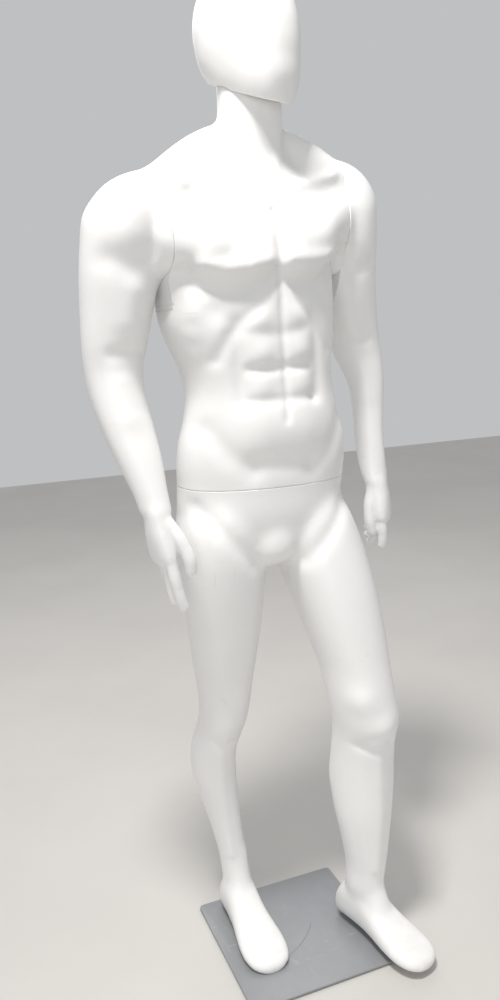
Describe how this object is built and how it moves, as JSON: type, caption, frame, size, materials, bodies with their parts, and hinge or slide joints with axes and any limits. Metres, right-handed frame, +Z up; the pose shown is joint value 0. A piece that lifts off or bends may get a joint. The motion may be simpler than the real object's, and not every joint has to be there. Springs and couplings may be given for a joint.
{
  "type": "full body mannequin",
  "caption": "Standing male display figure with a plain egg head, hollow moulded torso, arms and one-piece legs, keyed at waist, shoulders and neck, on a square plate with a foot rod.",
  "frame": {"origin": "on the floor under the middle of the whole figure's box", "axes": "+Z up, -Y towards the figure's front, +X towards the figure's own left"},
  "size_m": [0.6294, 0.4016, 1.857],
  "materials": {
    "moulded_shell": "satin white moulded shell with fine dust and rubbed edges",
    "closing_board": "plain off-white board",
    "steel_fitting": "bright zinc-plated steel",
    "screw_steel": "zinc-plated steel",
    "base_plate": "satin grey coating, lightly scuffed",
    "rubber_pad": "black rubber"
  },
  "bodies": {
    "base": {"base_plate": "base_plate", "base_rod": "steel_fitting", "rod_bolt": "screw_steel", "base_pad_front_left": "rubber_pad", "base_pad_front_right": "rubber_pad", "base_pad_rear_left": "rubber_pad", "base_pad_rear_right": "rubber_pad"},
    "lower_body": {"legs_shell": "moulded_shell", "foot_tube": "steel_fitting", "hip_board": "closing_board", "waist_plug": "steel_fitting", "waist_plug_screw_1": "screw_steel", "waist_plug_screw_2": "screw_steel", "waist_plug_screw_3": "screw_steel", "waist_plug_screw_4": "screw_steel"},
    "torso": {"torso_shell": "moulded_shell", "torso_board": "closing_board", "waist_socket": "steel_fitting", "waist_socket_screw_1": "screw_steel", "waist_socket_screw_2": "screw_steel", "waist_socket_screw_3": "screw_steel", "waist_socket_screw_4": "screw_steel", "left_shoulder_board": "closing_board", "left_shoulder_socket": "steel_fitting", "left_shoulder_screw_1": "screw_steel", "left_shoulder_screw_2": "screw_steel", "right_shoulder_board": "closing_board", "right_shoulder_socket": "steel_fitting", "right_shoulder_screw_1": "screw_steel", "right_shoulder_screw_2": "screw_steel", "neck_cap": "closing_board", "neck_peg": "steel_fitting", "neck_peg_screw_1": "screw_steel", "neck_peg_screw_2": "screw_steel"},
    "left_arm": {"left_arm_shell": "moulded_shell", "left_arm_board": "closing_board", "left_arm_key": "steel_fitting", "left_arm_key_screw_1": "screw_steel", "left_arm_key_screw_2": "screw_steel"},
    "right_arm": {"right_arm_shell": "moulded_shell", "right_arm_board": "closing_board", "right_arm_key": "steel_fitting", "right_arm_key_screw_1": "screw_steel", "right_arm_key_screw_2": "screw_steel"},
    "head": {"head_shell": "moulded_shell", "head_board": "closing_board", "head_socket": "steel_fitting", "head_socket_screw_1": "screw_steel", "head_socket_screw_2": "screw_steel"}
  },
  "joints": [
    {"name": "figure_lift", "type": "slide", "parent": "base", "child": "lower_body", "axis": [0, 0, 1], "range_m": [0, 0.2]},
    {"name": "torso_lift", "type": "slide", "parent": "lower_body", "child": "torso", "axis": [0, 0, 1], "range_m": [0, 0.05]},
    {"name": "head_turn", "type": "hinge", "parent": "torso", "child": "head", "pos_m": [0.00927, 0.04678, 1.6924], "axis": [0, 0, 1], "range_deg": [-65, 25]},
    {"name": "left_arm_turn", "type": "hinge", "parent": "torso", "child": "left_arm", "pos_m": [0.16924, 0.08097, 1.48235], "axis": [-0.9901, -0.1403, -0.0094], "range_deg": [0, 90]},
    {"name": "right_arm_turn", "type": "hinge", "parent": "torso", "child": "right_arm", "pos_m": [-0.18917, 0.03017, 1.45365], "axis": [-0.987, -0.1399, -0.0791], "range_deg": [0, 90]}
  ]
}
